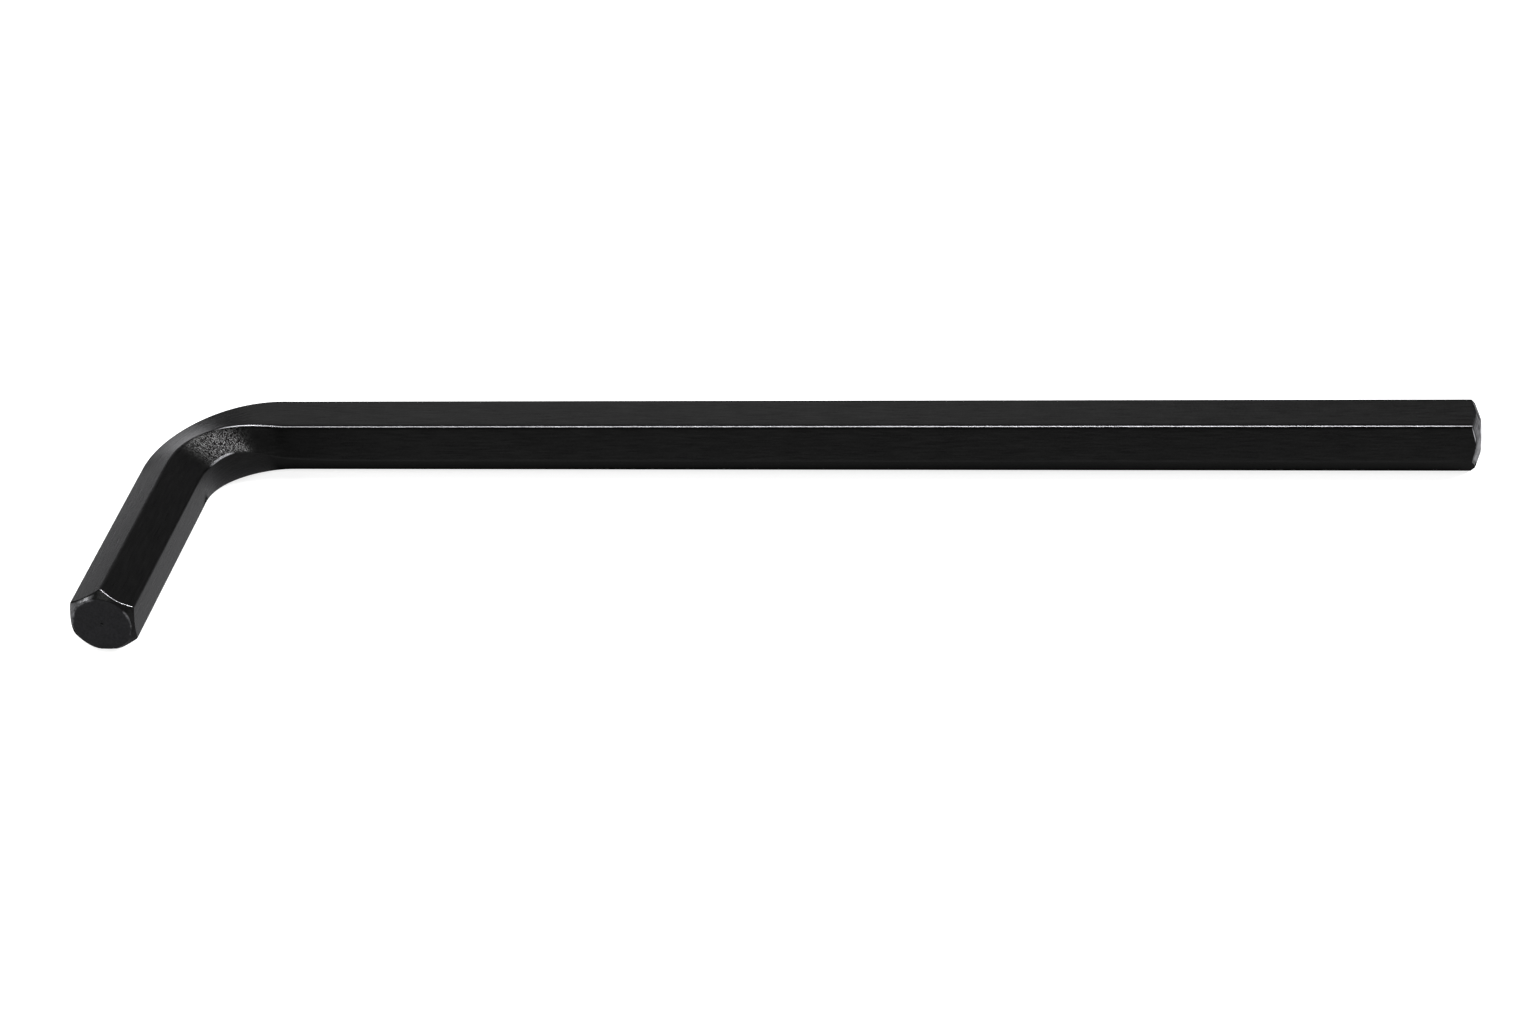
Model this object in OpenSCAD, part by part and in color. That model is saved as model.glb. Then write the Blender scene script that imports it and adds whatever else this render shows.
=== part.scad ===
// Hexagon key, long pattern, bent from one length of hexagon bar.
// It lies on its side on a bench, with the bend level and the short arm toward -Y.
// The origin is the middle of its footprint, on the bench.

/* [Bar] */
// Width across the flats of the hexagon bar
across_flats = 7; // [5:0.5:10]
// Radius of the rounding on the six corners of the bar
corner_radius = 0.4; // [0.1:0.05:0.8]

/* [Arms] */
// Length of the long arm, from its tip to the outside of the short arm
long_arm = 147; // [100:1:220]
// Length of the short arm, from its tip to the outside of the long arm
short_arm = 41; // [35:1:70]

/* [Bend] */
// Radius of the flat on the inside of the bend
inside_radius = 7; // [3:0.5:12]

/* [Tip of the long arm] */
// Diameter of the round end face that the chamfer leaves
long_face = 3.4; // [2:0.1:4.5]
// Angle between the chamfer and the end face
long_chamfer = 27; // [15:1:50]

/* [Tip of the short arm] */
// Diameter of the round end face that the chamfer leaves
short_face = 6.4; // [4:0.1:6.9]
// Angle between the chamfer and the end face
short_chamfer = 45; // [15:1:50]
// Diameter of the small centre mark in the end face
mark_d = 0.5; // [0.3:0.05:1]
// Depth of the centre mark
mark_depth = 0.2; // [0.1:0.05:0.4]

/* [Hidden] */
$fn = 96;

black_oxide = [0.13, 0.13, 0.14];

// Half the bar, from its axis to a flat
flat_reach = across_flats / 2;
// Turn between the points along a corner's rounding, which spans 60 degrees
rounding_step = 15;
// Where the centre of each corner's rounding lies, from the axis of the bar
corner_centre = (flat_reach - corner_radius) / cos(30);
// Half the bar, from its axis to a rounded corner
corner_reach = corner_centre + corner_radius;
// Radius of the bar's axis through the bend
axis_radius = inside_radius + flat_reach;

// Where the two axes would meet if the bar had a square corner
axes_x = flat_reach - long_arm / 2;
axes_y = short_arm / 2 - flat_reach;
axes_z = corner_reach;

// From where the axes would meet to each tip, along the bar
long_reach = long_arm - flat_reach;
short_reach = short_arm - flat_reach;

// Regular hexagon with rounded corners: a flat faces each way along X, a corner each way along Y
module bar_section() {
    polygon([
        for (turn = [30:60:330])
            for (lean = [-30:rounding_step:30])
                [
                    corner_centre * cos(turn) + corner_radius * cos(turn + lean),
                    corner_centre * sin(turn) + corner_radius * sin(turn + lean)
                ]
    ]);
}

// Turned outline that a tip is cut to: a cone that ends in a flat face at the given height
module tip_outline(height, face, chamfer) {
    outline_r = across_flats;
    chamfer_h = (outline_r - face / 2) * tan(chamfer);
    rotate_extrude()
        polygon([
            [0, 0],
            [outline_r, 0],
            [outline_r, height - chamfer_h],
            [face / 2, height],
            [0, height]
        ]);
}

// Straight arm that stands on the XY plane and ends in a chamfered tip
module arm(height, face, chamfer) {
    intersection() {
        linear_extrude(height)
            bar_section();
        tip_outline(height, face, chamfer);
    }
}

// Short arm, with the centre mark that facing the bar leaves in its end
module short_arm_with_mark() {
    height = short_reach - axis_radius;
    difference() {
        arm(height, short_face, short_chamfer);
        // A cone that widens to the mark's diameter at the end face and runs on past it
        translate([0, 0, height - mark_depth])
            cylinder(h = 2 * mark_depth, d1 = 0, d2 = 2 * mark_d);
    }
}

// Quarter turn of the bar round the inside of the bend
module bend() {
    rotate_extrude(angle = 90)
        translate([axis_radius, 0])
            bar_section();
}

module hex_key() {
    color(black_oxide)
        translate([axes_x, axes_y, axes_z]) {
            translate([axis_radius, 0, 0])
                rotate([0, 90, 0])
                    rotate(90)
                        arm(long_reach - axis_radius, long_face, long_chamfer);
            translate([axis_radius, -axis_radius, 0])
                rotate(90)
                    bend();
            translate([0, -axis_radius, 0])
                rotate([90, 0, 0])
                    short_arm_with_mark();
        }
}

hex_key();
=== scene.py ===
"""A long hexagon key on a pale bench: the camera, the bent bar and its finish, the bench and the lamps."""

import math
import bpy
import numpy as np
from mathutils import Matrix, Vector


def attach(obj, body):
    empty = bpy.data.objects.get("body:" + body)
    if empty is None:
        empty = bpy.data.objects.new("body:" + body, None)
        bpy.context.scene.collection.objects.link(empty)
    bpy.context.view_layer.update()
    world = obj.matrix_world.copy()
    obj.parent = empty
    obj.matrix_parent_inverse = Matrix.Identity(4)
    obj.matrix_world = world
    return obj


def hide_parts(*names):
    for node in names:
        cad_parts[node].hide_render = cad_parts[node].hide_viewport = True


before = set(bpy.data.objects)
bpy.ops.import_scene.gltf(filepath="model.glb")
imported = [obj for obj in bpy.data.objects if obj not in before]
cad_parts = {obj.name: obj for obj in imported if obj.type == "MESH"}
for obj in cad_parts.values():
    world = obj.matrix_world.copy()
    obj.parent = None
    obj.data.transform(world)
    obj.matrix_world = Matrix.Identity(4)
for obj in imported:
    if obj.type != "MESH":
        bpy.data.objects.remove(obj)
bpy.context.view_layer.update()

# The camera. It stands in front of the key, looks down on it by a third of a right angle and
# is a little turned in its mount, far back on a long lens, so that the long arm hardly tapers.
MM = 0.001
azimuth, elevation, roll = (math.radians(a) for a in (11.819, 32.863, -6.267))
aim = Vector((-6.65, 24.251, -11.02)) * MM
distance = 403.3 * MM
toward_camera = Vector(
    (
        math.cos(elevation) * math.sin(azimuth),
        -math.cos(elevation) * math.cos(azimuth),
        math.sin(elevation),
    )
)


def put(name, data):
    """Makes an object of a mesh, a lamp or a camera and puts it into the scene."""
    made = bpy.data.objects.new(name, data)
    bpy.context.scene.collection.objects.link(made)
    return made


camera_data = bpy.data.cameras.new("camera")
camera_data.lens = 82.03
camera_data.sensor_width = 36.0
camera_data.clip_start = 0.01
camera_data.clip_end = 50.0
camera = put("camera", camera_data)
camera.matrix_world = (
    Matrix.Translation(aim + toward_camera * distance)
    @ Matrix.Rotation(azimuth, 4, "Z")
    @ Matrix.Rotation(math.pi / 2 - elevation, 4, "X")
    @ Matrix.Rotation(roll, 4, "Z")
)
bpy.context.scene.camera = camera

# The key. One length of 7 mm hexagon bar of alloy steel, drawn to size, cut off, chamfered at
# both tips in a lathe, bent cold round a former, hardened and blackened in a hot oxide bath.
# Sizes are in mm. Angles round the bar are in degrees, from the outside of the bend towards the top.
ACROSS_FLATS, CORNER_ROUND, FLAT_PROUD = 7.0, 0.4, 0.016
LONG_ARM, SHORT_ARM, INSIDE_RADIUS = 147.0, 41.0, 7.0
LONG_TURN, SHORT_TURN = 44.0, 5.0
LONG_FACE_R, LONG_EDGE, LONG_FACE_RUB = 1.7, 0.13, 0.68
LONG_SLOPE, CORNER_SLOPE = 0.41, 0.05
SHORT_FACE_R, SHORT_EDGE, SHORT_SLOPE = 3.2, 0.055, 1.0
MARK_R, MARK_DEPTH = 0.25, 0.2
LINE_CORNER, INSIDE_FLAT, GLINT_CORNER, UNDER_FLAT = 90, 120, 150, 180
AXIS_RADIUS = INSIDE_RADIUS + ACROSS_FLATS / 2
LONG_STRAIGHT = LONG_ARM - ACROSS_FLATS / 2 - AXIS_RADIUS
SHORT_STRAIGHT = SHORT_ARM - ACROSS_FLATS / 2 - AXIS_RADIUS
AXIS_X, AXIS_Y = (ACROSS_FLATS - LONG_ARM) / 2, (SHORT_ARM - ACROSS_FLATS) / 2
AXIS_Z = round((ACROSS_FLATS / 2 - CORNER_ROUND) / math.cos(math.pi / 6) + CORNER_ROUND, 5)
BEND = AXIS_RADIUS * math.pi / 2
BAR = LONG_STRAIGHT + BEND + SHORT_STRAIGHT

rng = np.random.default_rng(7)


def capped(amount):
    """An amount kept between 0 and 1."""
    return np.clip(amount, 0, 1)


def wander(along, step, size):
    """A wandering value along the bar: seeded random numbers at equal steps, joined by cosine ramps."""
    knots = rng.normal(0.0, size, int(BAR / step) + 3)
    place = np.clip(along, 0.0, BAR) / step
    left = place.astype(int)
    ramp = (1 - np.cos(math.pi * (place - left))) / 2
    return knots[left] * (1 - ramp) + knots[left + 1] * ramp


def section(rounding):
    """The bar's rounded hexagon at each row: corners of the given radii at 30, 90, 150 ... degrees, whose
    arcs run 30 degrees to both sides, and flats between them that bulge by a low parabola. Returns across
    and up, each as rows by points."""
    lean = np.radians(np.linspace(-30, 30, 9))
    corner = np.radians(30 + 60 * np.arange(6))
    centre = (ACROSS_FLATS / 2 - rounding) / math.cos(math.pi / 6)
    turn = corner[None, :, None] + lean[None, None, :]
    across = centre[:, :, None] * np.cos(corner)[None, :, None] + rounding[:, :, None] * np.cos(turn)
    up = centre[:, :, None] * np.sin(corner)[None, :, None] + rounding[:, :, None] * np.sin(turn)
    share = np.array([0.012, 0.08, 0.2, 0.35, 0.5, 0.65, 0.8, 0.92, 0.988])
    next_across = np.roll(across, -1, axis=1)[:, :, :1]
    next_up = np.roll(up, -1, axis=1)[:, :, :1]
    flat = corner + math.pi / 6
    proud = FLAT_PROUD * (1 - (2 * share - 1) ** 2)
    flat_across = across[:, :, -1:] * (1 - share) + next_across * share + proud * np.cos(flat)[None, :, None]
    flat_up = up[:, :, -1:] * (1 - share) + next_up * share + proud * np.sin(flat)[None, :, None]
    rows = len(rounding)
    across = np.concatenate([across, flat_across], axis=2).reshape(rows, -1)
    up = np.concatenate([up, flat_up], axis=2).reshape(rows, -1)
    return across, up


def twist(along):
    """How far the section is turned at each place along the bar: from the long arm's turn to the short
    one's by a smooth cubic step, which starts a little before the bend and ends a little after it."""
    share = capped(((along - LONG_STRAIGHT) / BEND + 0.08) / 1.25)
    return np.radians(LONG_TURN - (LONG_TURN - SHORT_TURN) * share**2 * (3 - 2 * share))


def tip(reach, face, slope, edge, mark, wear_and_glint):
    """One tip, as rows from the flats to the middle of its end face. A row holds, for each point round the
    bar, its setback from the end face and its radius, then the part of the bar that it is on (0 flats,
    1 chamfer, 2 face) and how bright a steel it shows: wear in some places, a painted highlight or glint
    in others. The chamfer's setback is slope times the radius beyond the face's edge, and quadratic curves
    of length edge round both its edges. The face's rings shrink to a small punched cone, or to a plain
    middle point."""
    on_rim, on_chamfer, on_edge, on_face = wear_and_glint

    def setback(radius):
        return slope * np.clip(radius - face, 0, None)

    def curve(first, middle, last, t):
        return first * (1 - t) ** 2 + middle * 2 * t * (1 - t) + last * t**2

    inner = reach - np.minimum(edge, (reach - face) * 0.35)
    flat = np.zeros_like(reach)
    rows = [(setback(reach) + edge * 1.4, reach, 0, 0.0)]
    for t in np.linspace(0, 1, 7):
        lift = curve(setback(reach) + edge, setback(reach), setback(inner), t)
        rows.append((lift, curve(reach, reach, inner, t), int(t > 0.5), on_rim * (4 * t * (1 - t)) ** 2))
    for t in (0.2, 0.4, 0.6, 0.8):
        radius = inner * (1 - t) + (face + edge) * t
        rows.append((setback(radius), radius, 1, on_chamfer))
    for t in np.linspace(0, 1, 6):
        lift = curve(setback(flat + face + edge), flat, flat, t)
        rows.append((lift, flat + curve(face + edge, face, face - edge, t), 1 + int(t > 0.5), on_edge))
    for radius in np.linspace(face - edge, 0.36, 7)[1:]:
        rows.append((flat, flat + radius, 2, on_face))
    for radius in (0.28, 0.24, 0.2, 0.12, 0.05):
        rows.append((flat + mark * max(0, 1 - radius / MARK_R), flat + radius, 2, on_face))
    return rows


def curl(along, across, up):
    """The straight bar laid along its bent axis: first the long arm towards -X, then a quarter turn about
    the bend's centre, then the short arm towards -Y. The side named across stays outside in the bend."""
    angle = np.clip((along - LONG_STRAIGHT) / AXIS_RADIUS, 0, math.pi / 2)
    before = np.minimum(along, LONG_STRAIGHT)
    after = np.maximum(along - LONG_STRAIGHT - BEND, 0)
    reach = AXIS_RADIUS + across
    start = AXIS_X + AXIS_RADIUS + LONG_STRAIGHT
    x = start - before - reach * np.sin(angle)
    y = AXIS_Y - AXIS_RADIUS + reach * np.cos(angle) - after
    return np.stack([x, y, AXIS_Z + up], axis=-1)


# The bar between its tips, as rows of points, closer in the bend. Each of its six corners is worn unevenly.
ROW_STEP = 0.4
body_rows = np.concatenate(
    [
        np.array([1.5, 1.7, 2.0]),
        np.arange(2.4, LONG_STRAIGHT, ROW_STEP),
        LONG_STRAIGHT + np.linspace(0, BEND, 49),
        np.arange(LONG_STRAIGHT + BEND + ROW_STEP, BAR - 1.6, ROW_STEP),
        np.array([BAR - 1.4]),
    ]
)
worn = np.stack([np.abs(wander(body_rows, 7.0, 0.01)) for _ in range(6)], axis=1)
across, up = section(CORNER_ROUND + worn)
own = np.degrees(np.arctan2(up[0], across[0])) % 360

# Bending pushes the inside corner over, most just before the middle of the bend, and thins the section.
PUSH, PUSH_PLACE, THINNING = 14, 0.45, 0.08
from_push = (body_rows - LONG_STRAIGHT) / BEND - PUSH_PLACE
pushed = PUSH * np.exp(-((from_push / np.where(from_push > 0, 0.28, 0.5)) ** 2))[:, None]
turn = twist(body_rows)[:, None] - np.radians(pushed * capped(1 - np.abs(own - GLINT_CORNER) / 60))
across, up = across * np.cos(turn) - up * np.sin(turn), across * np.sin(turn) + up * np.cos(turn)
thinned = THINNING * np.sin(capped((body_rows - LONG_STRAIGHT) / BEND) * math.pi)[:, None] ** 2
across = across * (1 - thinned)


def aside(middle):
    """How many degrees each point round the bar lies to either side of an angle."""
    return np.abs((own - middle + 180) % 360 - 180)


def tip_rows(row, from_start, *shape):
    """A tip's rows in the straight bar's own measures, taken from the bar's first or last full section."""
    reach = np.hypot(across[row], up[row])
    rows = tip(reach, *shape)
    setback, radius = (np.array([r[i] for r in rows]) for i in (0, 1))
    part, wear_and_glint = (np.array([r[i] + np.zeros_like(reach) for r in rows]) for i in (2, 3))
    place = setback if from_start else BAR - setback
    return place, radius * across[row] / reach, radius * up[row] / reach, part, wear_and_glint


# The tips. The long one turns the screws, so most of its oxide is worn away, and its chamfer is a little
# steeper at the corners than at the flats; on one side its rim carries a painted glint of bright steel. The
# short one has a painted glint on its rim and painted highlights of bright steel in a crescent on its
# chamfer and on one side of its face edge, and its lowest corner is ground off a little.
RIM_GLINT_SIDE, CRESCENT_SIDE, RING_SIDE = 104, 38, 165
GROUND_HEIGHT, GROUND_SLOPE = -3.15, 0.55
long_slope = LONG_SLOPE + CORNER_SLOPE * np.cos(np.radians(6 * (own - 30)))
long_rim = 0.95 * capped(1.3 - aside(RIM_GLINT_SIDE) / 14)
long_chamfer = np.interp(own, (0, 75, 130, 180), (0.4, 0.34, 0.4, 0.5))
long_wear_and_glint = (long_rim, long_chamfer, LONG_FACE_RUB, LONG_FACE_RUB)
long_tip = tip_rows(0, True, LONG_FACE_R, long_slope, LONG_EDGE, 0.0, long_wear_and_glint)

rim_share = np.interp(own, (LINE_CORNER, GLINT_CORNER), (1.0, 0.5))
short_rim = 0.95 * capped((32 - aside(INSIDE_FLAT)) / 4) * rim_share
short_crescent = 0.35 * capped((52 - aside(CRESCENT_SIDE)) / 14)
short_ring = np.maximum(0.29 * capped(1.4 - aside(RING_SIDE) / 45), short_crescent)
short_painted_highlights = (short_rim, short_crescent, short_ring, 0.0)
short_tip = tip_rows(-1, False, SHORT_FACE_R, SHORT_SLOPE, SHORT_EDGE, MARK_DEPTH, short_painted_highlights)
short_tip[2][:] = np.maximum(short_tip[2], GROUND_HEIGHT - GROUND_SLOPE * (BAR - short_tip[0]))

along = np.broadcast_to(body_rows[:, None], across.shape)
body = (along, across, up, np.zeros_like(across), np.zeros_like(across))
place, side, height, part, bare_and_highlight = [
    np.concatenate([a[::-1], b, c]) for a, b, c in zip(long_tip, body, short_tip)
]
rows, points = place.shape

# Along the long arm one corner shows a narrow bright line of steel, partly wear and partly a painted
# highlight, which fades out in the bend, where a painted glint of bright steel lies on the inside corner
# instead. The corners of the long tip keep their oxide, except on the side of its rim glint.
OXIDE_RADIUS = 3.66
bend_share = capped((place - LONG_STRAIGHT) / BEND)
line_half_width = np.interp(place, (0, 100, 133, 136), (0.75, 1.05, 1.1, 1.3))
line = capped(1.2 - aside(LINE_CORNER) / line_half_width) * capped((0.62 - bend_share) / 0.2)
glint = capped(1.2 - aside(GLINT_CORNER) / 2.4) * capped(1.6 - np.abs(bend_share - 0.66) / 0.15)
unworn_corner = (place < BAR / 2) & (part > 0) & (aside(RIM_GLINT_SIDE) > 20)
bare_and_highlight = np.where(unworn_corner, bare_and_highlight * capped((OXIDE_RADIUS - np.hypot(side, height)) / 0.12), bare_and_highlight)
bare_and_highlight = np.where(part == 0, np.maximum(bare_and_highlight, np.maximum(line, glint)), bare_and_highlight)

# The inside flat is pressed together in the bend, and its ripples there carry a painted sheen. A painted
# shade darkens the oxide beside the line, and the under flat is painted as a matt dark shade: fully along
# the long arm, partly on the short arm and not in the middle of the bend.
bent = capped(1 - ((bend_share - 0.58) / 0.36) ** 2) ** 2 * capped((32 - aside(INSIDE_FLAT)) / 4)
line_painted_shade = 0.6 * capped((4.5 - aside(LINE_CORNER)) / 1.5) * capped((0.8 - bend_share) / 0.3) * (part == 0)
under_flat_shade_along = np.interp(bend_share, (0.1, 0.42, 0.8, 1), (1.0, 0.0, 0.0, 0.36))
under_flat_painted_shade = capped((31 - aside(UNDER_FLAT)) / 2) * under_flat_shade_along * (part == 0)

# Quads join the rows, and a fan about its middle point closes each end face.
index = np.arange(rows * points).reshape(rows, points)
index_next = np.roll(index, -1, axis=1)
quads = np.stack([index[:-1], index[1:], index_next[1:], index_next[:-1]], axis=-1).reshape(-1, 4)
long_middle, short_middle = rows * points, rows * points + 1
fan_long = np.stack([np.full(points, long_middle), index[0], index_next[0]], axis=-1)
fan_short = np.stack([np.full(points, short_middle), index_next[-1], index[-1]], axis=-1)
middles = np.array([[0.0, 0.0, 0.0], [BAR - MARK_DEPTH, 0.0, 0.0]])
straight = np.vstack([np.stack([place, side, height], axis=-1).reshape(-1, 3), middles])
key_points = curl(straight[:, 0], straight[:, 1], straight[:, 2]) * MM

key_mesh = bpy.data.meshes.new("bent_hexagon_bar")
key_mesh.from_pydata(key_points.tolist(), [], quads.tolist() + fan_long.tolist() + fan_short.tolist())
for name, values, at_long_middle, at_short_middle in (
    ("bare_and_highlight", bare_and_highlight, LONG_FACE_RUB, 0.0),
    ("part", part, 2.0, 2.0),
    ("bent", bent, 0.0, 0.0),
    ("line_painted_shade", line_painted_shade, 0.0, 0.0),
    ("under_flat_painted_shade", under_flat_painted_shade, 0.0, 0.0),
):
    layer = key_mesh.attributes.new(name, "FLOAT", "POINT")
    values = np.append(values.ravel(), [at_long_middle, at_short_middle])
    layer.data.foreach_set("value", values.astype(np.float32))
layer = key_mesh.attributes.new("bar_mm", "FLOAT_VECTOR", "POINT")
layer.data.foreach_set("vector", straight.astype(np.float32).ravel())
key_mesh.polygons.foreach_set("use_smooth", np.ones(len(key_mesh.polygons), bool))
key_mesh.update()
key = put("bent_hexagon_bar", key_mesh)
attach(key, "root")
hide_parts("hex_key")


def linear(hex_colour):
    """An sRGB hex colour as linear RGBA: each channel is raised by the sRGB curve."""
    channels = [int(hex_colour[i : i + 2], 16) / 255 for i in (1, 3, 5)]
    return [c / 12.92 if c <= 0.04045 else ((c + 0.055) / 1.055) ** 2.4 for c in channels] + [1.0]


def empty_tree(owner):
    """Switches on the nodes of a material or of the world and returns its tree, emptied."""
    owner.use_nodes = True
    owner.node_tree.nodes.clear()
    return owner.node_tree


def node(tree, kind, settings=None, **links):
    """Adds a node. Settings are its own properties. Links are its inputs, by name or as i and a number,
    and each is a value or another node's output."""
    made = tree.nodes.new(kind)
    for name, value in (settings or {}).items():
        setattr(made, name, value)
    for name, value in links.items():
        socket = made.inputs[int(name[1:])] if name[1:].isdigit() else made.inputs[name.replace("_", " ")]
        if isinstance(value, bpy.types.NodeSocket):
            tree.links.new(value, socket)
        else:
            socket.default_value = value
    return made


MATH, VECTOR, NOISE = "ShaderNodeMath", "ShaderNodeVectorMath", "ShaderNodeTexNoise"
RANGE, ATTRIBUTE, MIX = "ShaderNodeMapRange", "ShaderNodeAttribute", "ShaderNodeMix"
MULTIPLY, MULTIPLY_ADD = {"operation": "MULTIPLY"}, {"operation": "MULTIPLY_ADD"}
SCALE, MAXIMUM = {"operation": "SCALE"}, {"operation": "MAXIMUM"}
COLOURS, SMOOTH = {"data_type": "RGBA"}, {"interpolation_type": "SMOOTHSTEP"}

# Black oxide on cold drawn, hardened steel. The eye gets a satin near-black that mirrors little from the
# front and more at a glancing angle, fine lines along the bar from the drawing die, and bright steel where
# it is worn and where highlights and glints are painted.
black_oxide = bpy.data.materials.new("black_oxide_on_drawn_steel")
tree = empty_tree(black_oxide)
bar = node(tree, ATTRIBUTE, {"attribute_name": "bar_mm"}).outputs["Vector"]
bare_and_highlight_mask = node(tree, ATTRIBUTE, {"attribute_name": "bare_and_highlight"}).outputs["Fac"]
bend_ripples_and_sheen = node(tree, ATTRIBUTE, {"attribute_name": "bent"}).outputs["Fac"]
part_of_bar = node(tree, ATTRIBUTE, {"attribute_name": "part"}).outputs["Fac"]
line_shade_mask = node(tree, ATTRIBUTE, {"attribute_name": "line_painted_shade"}).outputs["Fac"]
under_flat_shade_mask = node(tree, ATTRIBUTE, {"attribute_name": "under_flat_painted_shade"}).outputs["Fac"]

# Draw lines: real ones are 0.02 to 0.05 mm apart, drawn here 0.25 mm apart so that they show, 2.5 mm long.
stretch = node(tree, VECTOR, MULTIPLY, i0=bar, i1=(0.4, 4.0, 4.0)).outputs[0]
lines = node(tree, NOISE, Vector=stretch, Scale=1.0, Detail=2.0, Roughness=0.6).outputs["Fac"]
# Oxide grain: the crystals are a few microns across, drawn here at 0.25 mm so that they show.
grain = node(tree, NOISE, Vector=bar, Scale=4.0, Detail=3.0, Roughness=0.7).outputs["Fac"]
# Ripples inside the bend, where the steel was pressed together: about 0.17 mm apart and 0.26 mm long.
stretch = node(tree, VECTOR, MULTIPLY, i0=bar, i1=(6.0, 3.8, 3.8)).outputs[0]
ripples = node(tree, NOISE, Vector=stretch, Scale=1.0, Detail=3.0, Roughness=0.7).outputs["Fac"]
# Clouds of 2 to 4 mm, where the bath took a little more or less.
stretch = node(tree, VECTOR, MULTIPLY, i0=bar, i1=(0.25, 0.5, 0.5)).outputs[0]
clouds = node(tree, NOISE, Vector=stretch, Scale=1.0, Detail=2.0, Roughness=0.5).outputs["Fac"]
# Ragged edges of worn and painted bright steel: real ones are 0.1 mm deep, drawn here at 0.4 by 0.9 mm to
# show.
stretch = node(tree, VECTOR, MULTIPLY, i0=bar, i1=(2.6, 1.1, 1.1)).outputs[0]
ragged = node(tree, NOISE, Vector=stretch, Scale=1.0, Detail=4.0, Roughness=0.7).outputs["Fac"]

# The oxide's tone: lines, grain and clouds together, lifted in the bend by the ripples into bright
# speckles up to several times as bright, a painted sheen, and darkened beside the line by a painted
# shade. The turned end faces took it a little paler.
tone = node(tree, MATH, MULTIPLY_ADD, i0=lines, i1=0.9, i2=0.15).outputs[0]
tone = node(tree, MATH, MULTIPLY_ADD, i0=grain, i1=0.5, i2=tone).outputs[0]
tone = node(tree, MATH, MULTIPLY_ADD, i0=clouds, i1=0.3, i2=tone).outputs[0]
ripples_and_painted_sheen = node(tree, RANGE, Value=ripples, From_Min=0.41, From_Max=0.6, To_Min=-1.7, To_Max=6.8).outputs[0]
ripples_and_painted_sheen = node(tree, MATH, MULTIPLY_ADD, i0=ripples_and_painted_sheen, i1=bend_ripples_and_sheen, i2=1.0).outputs[0]
tone = node(tree, MATH, MULTIPLY, i0=tone, i1=ripples_and_painted_sheen).outputs[0]
outside_line_shade = node(tree, MATH, {"operation": "SUBTRACT"}, i0=1.0, i1=line_shade_mask).outputs[0]
tone = node(tree, MATH, MULTIPLY, i0=tone, i1=outside_line_shade).outputs[0]
turned = node(tree, RANGE, Value=part_of_bar, From_Min=1.4, From_Max=1.6).outputs[0]
oxide = node(tree, MIX, COLOURS, Factor=turned, i6=linear("#141414"), i7=linear("#19191a")).outputs[2]
oxide = node(tree, VECTOR, SCALE, i0=oxide, Scale=tone).outputs[0]

# Where it is worn, and where highlights and glints are painted, a bright steel colour shows with a ragged
# edge.
ragged = node(tree, MATH, MULTIPLY_ADD, i0=ragged, i1=0.6, i2=-0.3).outputs[0]
ragged = node(tree, MATH, {"operation": "ADD"}, i0=bare_and_highlight_mask, i1=ragged).outputs[0]
inside = node(tree, RANGE, SMOOTH, Value=ragged, From_Min=0.2, From_Max=0.8).outputs[0]
gate = node(tree, MATH, {"operation": "GREATER_THAN"}, i0=bare_and_highlight_mask, i1=0.02).outputs[0]
showing = node(tree, MATH, MULTIPLY, i0=inside, i1=gate).outputs[0]
colour = node(tree, MIX, COLOURS, Factor=showing, i6=oxide, i7=linear("#8a8a8d")).outputs[2]

# At a very glancing angle the rough oxide shades itself, so its mirror dies away at the outline. Bare
# steel's doesn't.
glance = node(tree, "ShaderNodeLayerWeight", Blend=0.5).outputs["Facing"]
glance = node(tree, RANGE, SMOOTH, Value=glance, From_Min=0.735, From_Max=0.8, To_Min=0.62, To_Max=0.0)
glance = node(tree, MATH, MAXIMUM, i0=glance.outputs[0], i1=showing).outputs[0]
glance = node(tree, VECTOR, SCALE, i0=(0.99, 0.99, 1.0), Scale=glance).outputs[0]
roughness = node(tree, RANGE, Value=lines, From_Min=0.3, From_Max=0.7, To_Min=0.27, To_Max=0.32).outputs[0]

# Inside the bend the grain and the ripples stand up, because the steel was pressed together there.
grain_rise = node(tree, MATH, MULTIPLY_ADD, i0=bend_ripples_and_sheen, i1=3.0, i2=0.9).outputs[0]
relief = node(tree, MATH, MULTIPLY_ADD, i0=grain, i1=grain_rise, i2=lines).outputs[0]
ripple_rise = node(tree, MATH, MULTIPLY, i0=bend_ripples_and_sheen, i1=4.0).outputs[0]
relief = node(tree, MATH, MULTIPLY_ADD, i0=ripples, i1=ripple_rise, i2=relief).outputs[0]
bump = node(tree, "ShaderNodeBump", Height=relief, Strength=1.0, Distance=0.02 * MM).outputs["Normal"]
steel = node(
    tree,
    "ShaderNodeBsdfPrincipled",
    Base_Color=colour,
    Metallic=1.0,
    Roughness=roughness,
    Specular_Tint=glance,
    Normal=bump,
)
# The under flat is painted as a matt near-black shade, which mirrors nothing.
under_flat_matt_shade = node(tree, "ShaderNodeBsdfDiffuse", Color=linear("#1e1e1e"))
skin = node(tree, "ShaderNodeMixShader", i0=under_flat_shade_mask, i1=steel.outputs["BSDF"], i2=under_flat_matt_shade.outputs["BSDF"])
node(tree, "ShaderNodeOutputMaterial", Surface=skin.outputs["Shader"])
key_mesh.materials.append(black_oxide)

# The bench. Matt white paper under the key, which runs on past the picture on every side. It
# takes the key's own soft shadow; to the camera and in reflections it has the white of the room.
BENCH_REACH = 6000 * MM
WHITE = (1.0, 1.0, 1.0, 1.0)


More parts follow.
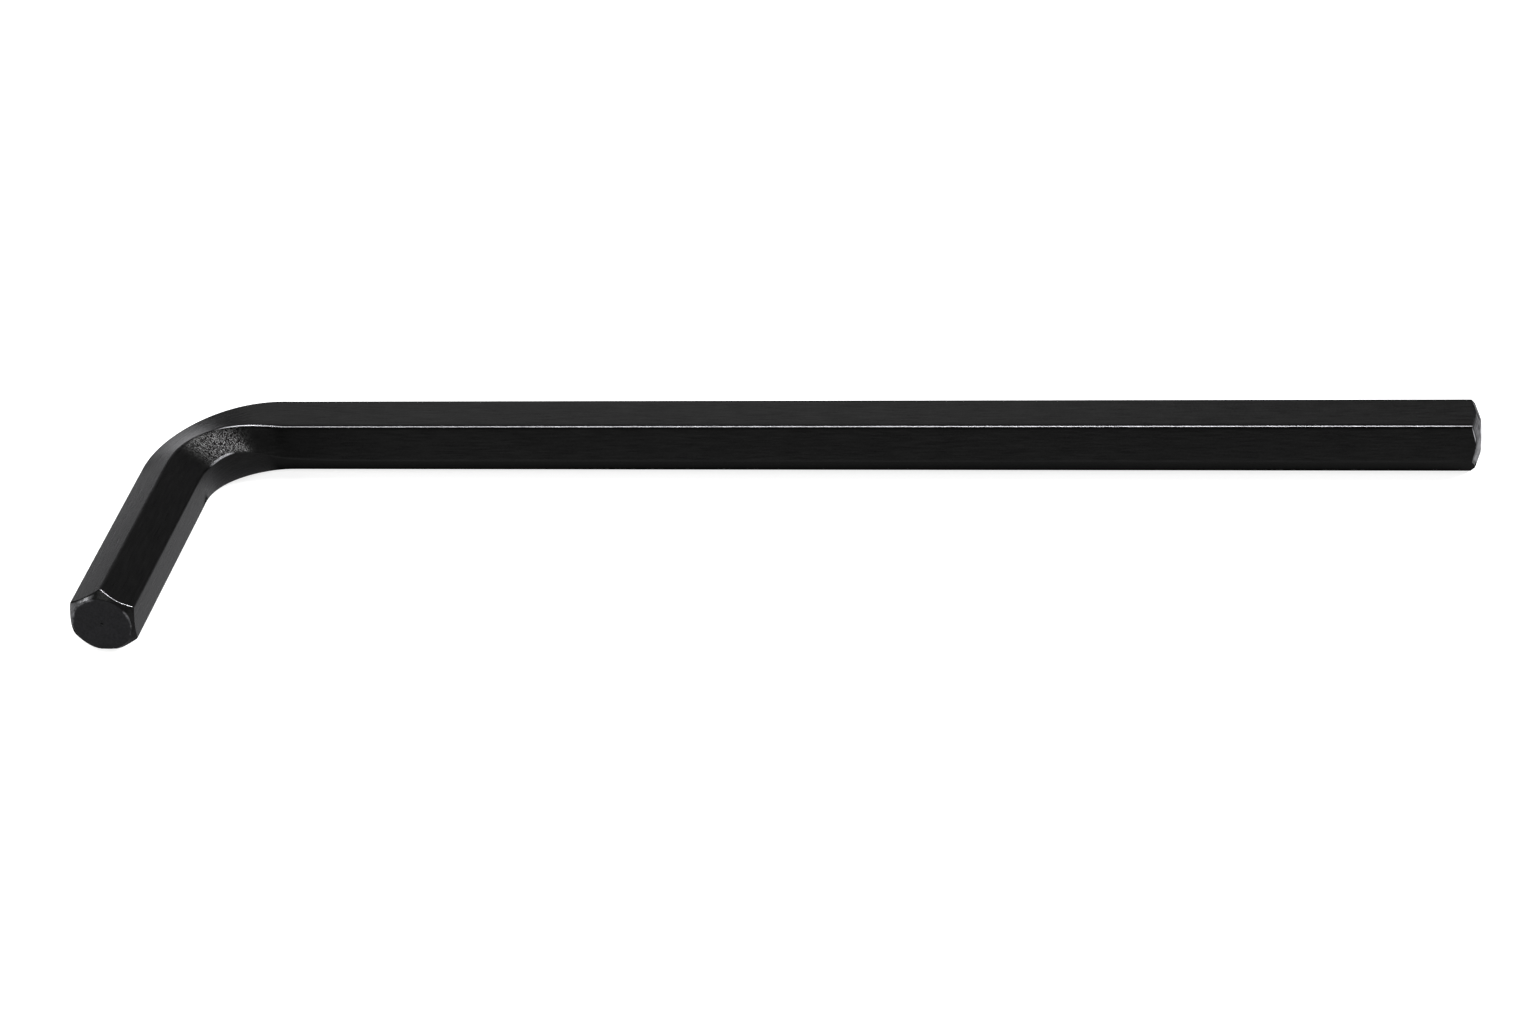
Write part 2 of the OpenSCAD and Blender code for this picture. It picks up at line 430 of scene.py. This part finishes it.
def seen_or_mirrored(tree):
    """The largest of three flags: 1 for a ray from the camera, from a mirroring surface or through glass,
    and 0 for the rays that light a matt surface."""
    rays = node(tree, "ShaderNodeLightPath").outputs
    seen = node(tree, MATH, MAXIMUM, i0=rays["Is Camera Ray"], i1=rays["Is Glossy Ray"]).outputs[0]
    return node(tree, MATH, MAXIMUM, i0=seen, i1=rays["Is Transmission Ray"]).outputs[0]


paper = bpy.data.materials.new("matt_white_paper")
tree = empty_tree(paper)
matt = node(tree, "ShaderNodeBsdfDiffuse", Color=linear("#b0b0b0"))
glow_level = node(tree, MATH, MULTIPLY, i0=seen_or_mirrored(tree), i1=0.82).outputs[0]
glow = node(tree, "ShaderNodeEmission", Color=WHITE, Strength=glow_level)
both = node(tree, "ShaderNodeAddShader", i0=matt.outputs["BSDF"], i1=glow.outputs["Emission"])
node(tree, "ShaderNodeOutputMaterial", Surface=both.outputs["Shader"])
bench_corners = [(BENCH_REACH * x, BENCH_REACH * y, 0) for x, y in ((-1, -1), (1, -1), (1, 1), (-1, 1))]
bench_mesh = bpy.data.meshes.new("bench")
bench_mesh.from_pydata(bench_corners, [], [(0, 1, 2, 3)])
bench_mesh.materials.append(paper)
bench = put("bench", bench_mesh)

# The room and its lamps. A white room, and softboxes that stand off the key on all sides. The camera
# and the key's steel see the room as white, but it lights matt surfaces with only a third of that.
world = bpy.data.worlds.new("white_room")
bpy.context.scene.world = world
tree = empty_tree(world)
level = node(tree, RANGE, Value=seen_or_mirrored(tree), To_Min=0.35, To_Max=1.0).outputs[0]
sky = node(tree, "ShaderNodeBackground", Color=WHITE, Strength=level)
node(tree, "ShaderNodeOutputWorld", Surface=sky.outputs["Background"])


def softbox(name, toward, far, width, height, radiance):
    """A rectangular lamp at a distance from the key in a direction, turned to face it. Its sizes are in
    metres, and its power is its radiance times pi times its area."""
    data = bpy.data.lights.new(name, "AREA")
    data.shape = "RECTANGLE"
    data.size, data.size_y = width, height
    data.energy = radiance * math.pi * width * height
    lamp = put(name, data)
    lamp.location = Vector(toward).normalized() * far
    lamp.rotation_euler = lamp.location.to_track_quat("Z", "Y").to_euler()


softbox("wide_overhead_softbox", (-0.3, 0.42, 0.84), 1.5, 1.1, 1.0, 3.1)
softbox("small_overhead_lamp", (0.33, 0.17, 0.93), 1.2, 0.16, 0.16, 60.0)
softbox("front_strip_lamp", (-0.1, -0.6, 0.78), 1.2, 0.5, 0.14, 12.0)
softbox("small_top_lamp", (0.1, -0.25, 0.96), 1.2, 0.26, 0.26, 22.0)
softbox("small_left_lamp", (-0.82, -0.34, 0.46), 1.2, 0.34, 0.34, 11.0)
softbox("small_right_lamp", (0.8, 0.07, 0.58), 1.2, 0.34, 0.34, 66.0)
softbox("low_back_softbox", (-0.47, 0.87, 0.12), 1.5, 0.34, 0.3, 5.5)

bpy.context.scene.view_settings.view_transform = "Standard"
